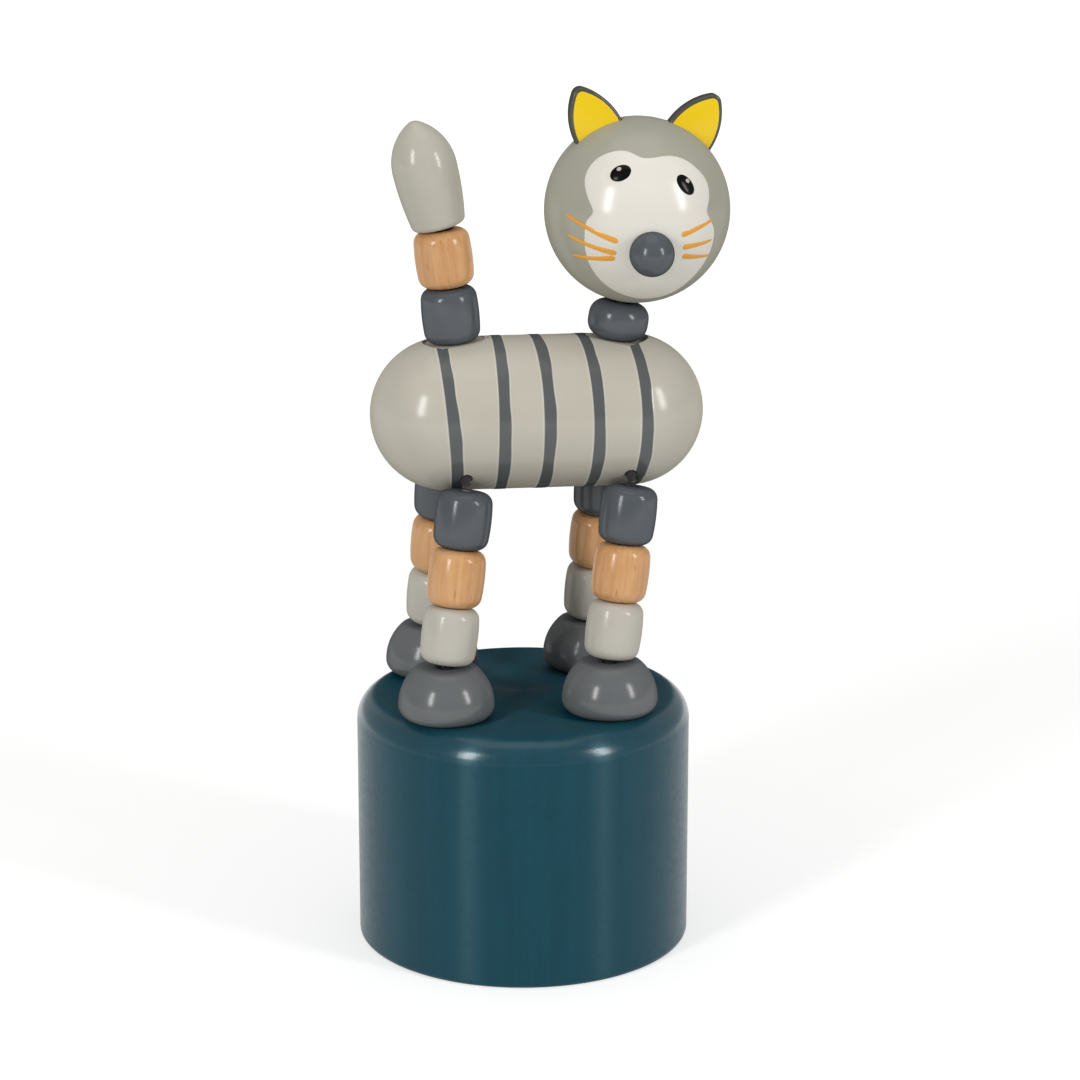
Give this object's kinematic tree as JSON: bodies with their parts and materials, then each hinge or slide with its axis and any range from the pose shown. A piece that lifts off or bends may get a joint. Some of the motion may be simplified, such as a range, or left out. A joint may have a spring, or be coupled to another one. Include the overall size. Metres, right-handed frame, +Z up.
{
  "type": "push puppet",
  "caption": "Wooden cat push puppet: strung beads standing on a hollow drum, folding when the sprung button underneath is pressed.",
  "frame": {"origin": "middle of the drum's underside, on the surface that it stands on", "axes": "+Z up, +X the way the cat heads, +Y to its left"},
  "size_m": [0.0498, 0.045, 0.1159],
  "materials": {
    "teal_paint": "gloss",
    "natural_wood": "gloss",
    "spring_steel": "satin",
    "warm_paint": "gloss",
    "dark_paint": "gloss",
    "yellow_paint": "gloss",
    "pale_paint": "gloss",
    "cord": "matte"
  },
  "bodies": {
    "base": {"base_drum": "teal_paint", "base_cords": "cord", "spring": "spring_steel", "foot_front_right": "dark_paint", "cord_foot_front_right": "cord", "foot_front_left": "dark_paint", "cord_foot_front_left": "cord", "foot_rear_right": "dark_paint", "cord_foot_rear_right": "cord", "foot_rear_left": "dark_paint", "cord_foot_rear_left": "cord"},
    "push_button": {"push_button": "natural_wood", "cord_knots": "cord"},
    "leg_lower_front_right": {"leg_lower_front_right": "pale_paint", "cord_lower_front_right": "cord"},
    "leg_middle_front_right": {"leg_middle_front_right": "natural_wood", "cord_middle_front_right": "cord"},
    "leg_upper_front_right": {"leg_upper_front_right": "dark_paint", "cord_upper_front_right": "cord"},
    "leg_lower_front_left": {"leg_lower_front_left": "pale_paint", "cord_lower_front_left": "cord"},
    "leg_middle_front_left": {"leg_middle_front_left": "natural_wood", "cord_middle_front_left": "cord"},
    "leg_upper_front_left": {"leg_upper_front_left": "dark_paint", "cord_upper_front_left": "cord"},
    "leg_lower_rear_right": {"leg_lower_rear_right": "pale_paint", "cord_lower_rear_right": "cord"},
    "leg_middle_rear_right": {"leg_middle_rear_right": "natural_wood", "cord_middle_rear_right": "cord"},
    "leg_upper_rear_right": {"leg_upper_rear_right": "dark_paint", "cord_upper_rear_right": "cord"},
    "leg_lower_rear_left": {"leg_lower_rear_left": "pale_paint", "cord_lower_rear_left": "cord"},
    "leg_middle_rear_left": {"leg_middle_rear_left": "natural_wood", "cord_middle_rear_left": "cord"},
    "leg_upper_rear_left": {"leg_upper_rear_left": "dark_paint", "cord_upper_rear_left": "cord"},
    "body": {"body": "warm_paint", "body_cords": "cord"},
    "neck": {"neck_bead": "dark_paint", "neck_cords": "cord"},
    "head_cords": {"head_cords": "cord"},
    "head": {"head": "warm_paint", "nose": "dark_paint", "ear_left": "yellow_paint", "ear_right": "yellow_paint"},
    "tail_lower": {"tail_lower": "dark_paint", "tail_cords_lower": "cord"},
    "tail_middle": {"tail_middle": "natural_wood", "tail_cords_middle": "cord"},
    "tail_tip": {"tail_tip": "warm_paint", "tail_cords_tip": "cord"}
  },
  "joints": [
    {"name": "leg_lower_front_right_rock", "type": "hinge", "parent": "base", "child": "leg_lower_front_right", "pos_m": [0.01349, -0.01015, 0.04114], "axis": [0, 1, 0], "range_deg": [0, 36.5]},
    {"name": "leg_middle_front_right_rock", "type": "hinge", "parent": "base", "child": "leg_middle_front_right", "pos_m": [0.01349, -0.01015, 0.04114], "axis": [0, 1, 0], "range_deg": [0, 40.5]},
    {"name": "leg_upper_front_right_rock", "type": "hinge", "parent": "base", "child": "leg_upper_front_right", "pos_m": [0.01349, -0.01015, 0.04114], "axis": [0, 1, 0], "range_deg": [0, 44.5]},
    {"name": "leg_lower_front_left_rock", "type": "hinge", "parent": "base", "child": "leg_lower_front_left", "pos_m": [0.01347, 0.01016, 0.04124], "axis": [0, 1, 0], "range_deg": [0, 36.5]},
    {"name": "leg_middle_front_left_rock", "type": "hinge", "parent": "base", "child": "leg_middle_front_left", "pos_m": [0.01347, 0.01016, 0.04124], "axis": [0, 1, 0], "range_deg": [0, 40.5]},
    {"name": "puppet_fold", "type": "hinge", "parent": "base", "child": "leg_upper_front_left", "pos_m": [0.01347, 0.01016, 0.04124], "axis": [0, 1, 0], "range_deg": [0, 44]},
    {"name": "leg_lower_rear_right_rock", "type": "hinge", "parent": "base", "child": "leg_lower_rear_right", "pos_m": [-0.00831, -0.01015, 0.04114], "axis": [0, 1, 0], "range_deg": [0, 36.5]},
    {"name": "leg_middle_rear_right_rock", "type": "hinge", "parent": "base", "child": "leg_middle_rear_right", "pos_m": [-0.00831, -0.01015, 0.04114], "axis": [0, 1, 0], "range_deg": [0, 40.5]},
    {"name": "leg_upper_rear_right_rock", "type": "hinge", "parent": "base", "child": "leg_upper_rear_right", "pos_m": [-0.00831, -0.01015, 0.04114], "axis": [0, 1, 0], "range_deg": [0, 44.5]},
    {"name": "leg_lower_rear_left_rock", "type": "hinge", "parent": "base", "child": "leg_lower_rear_left", "pos_m": [-0.00833, 0.01016, 0.04124], "axis": [0, 1, 0], "range_deg": [0, 36.5]},
    {"name": "leg_middle_rear_left_rock", "type": "hinge", "parent": "base", "child": "leg_middle_rear_left", "pos_m": [-0.00833, 0.01016, 0.04124], "axis": [0, 1, 0], "range_deg": [0, 40.5]},
    {"name": "leg_upper_rear_left_rock", "type": "hinge", "parent": "base", "child": "leg_upper_rear_left", "pos_m": [-0.00833, 0.01016, 0.04124], "axis": [0, 1, 0], "range_deg": [0, 44.5]},
    {"name": "button_press", "type": "slide", "parent": "base", "child": "push_button", "axis": [0, 0, 1], "range_m": [0, 0.0071], "stiffness_N_per_m": 20, "springref_m": -0.05, "deforming": ["spring", "base_cords"]},
    {"name": "body_level", "type": "hinge", "parent": "leg_upper_front_left", "child": "body", "pos_m": [0.00898, 0.00755, 0.06456], "axis": [0, 1, 0], "range_deg": [-44.5, 0]},
    {"name": "neck_nod", "type": "hinge", "parent": "body", "child": "neck", "pos_m": [0.01516, 0, 0.08203], "axis": [0, 1, 0], "range_deg": [0, 12.5]},
    {"name": "head_nod", "type": "hinge", "parent": "body", "child": "head_cords", "pos_m": [0.01516, 0, 0.08203], "axis": [0, 1, 0], "range_deg": [0, 28.5]},
    {"name": "head_turn", "type": "hinge", "parent": "head_cords", "child": "head", "pos_m": [0.01511, 0, 0.09962], "axis": [0.1616, 0, 0.9869], "range_deg": [-33, 207]},
    {"name": "tail_lower_fall", "type": "hinge", "parent": "body", "child": "tail_lower", "pos_m": [-0.01226, 0, 0.08229], "axis": [0, 1, 0], "range_deg": [-12.5, 0]},
    {"name": "tail_middle_fall", "type": "hinge", "parent": "body", "child": "tail_middle", "pos_m": [-0.01226, 0, 0.08229], "axis": [0, 1, 0], "range_deg": [-20.5, 0]},
    {"name": "tail_tip_fall", "type": "hinge", "parent": "body", "child": "tail_tip", "pos_m": [-0.01226, 0, 0.08229], "axis": [0, 1, 0], "range_deg": [-28.5, 0]}
  ],
  "couplings": [
    {"joint": "leg_lower_front_right_rock", "follows": "puppet_fold", "ratio": 0.81818},
    {"joint": "leg_middle_front_right_rock", "follows": "puppet_fold", "ratio": 0.90909},
    {"joint": "leg_upper_front_right_rock", "follows": "puppet_fold", "ratio": 1},
    {"joint": "leg_lower_front_left_rock", "follows": "puppet_fold", "ratio": 0.81818},
    {"joint": "leg_middle_front_left_rock", "follows": "puppet_fold", "ratio": 0.90909},
    {"joint": "leg_lower_rear_right_rock", "follows": "puppet_fold", "ratio": 0.81818},
    {"joint": "leg_middle_rear_right_rock", "follows": "puppet_fold", "ratio": 0.90909},
    {"joint": "leg_upper_rear_right_rock", "follows": "puppet_fold", "ratio": 1},
    {"joint": "leg_lower_rear_left_rock", "follows": "puppet_fold", "ratio": 0.81818},
    {"joint": "leg_middle_rear_left_rock", "follows": "puppet_fold", "ratio": 0.90909},
    {"joint": "leg_upper_rear_left_rock", "follows": "puppet_fold", "ratio": 1},
    {"joint": "button_press", "follows": "puppet_fold", "m_per_rad": 0.0091152},
    {"joint": "body_level", "follows": "puppet_fold", "ratio": -1},
    {"joint": "neck_nod", "follows": "puppet_fold", "ratio": 0.27273},
    {"joint": "head_nod", "follows": "puppet_fold", "ratio": 0.63636},
    {"joint": "tail_lower_fall", "follows": "puppet_fold", "ratio": -0.27273},
    {"joint": "tail_middle_fall", "follows": "puppet_fold", "ratio": -0.45454},
    {"joint": "tail_tip_fall", "follows": "puppet_fold", "ratio": -0.63636}
  ]
}
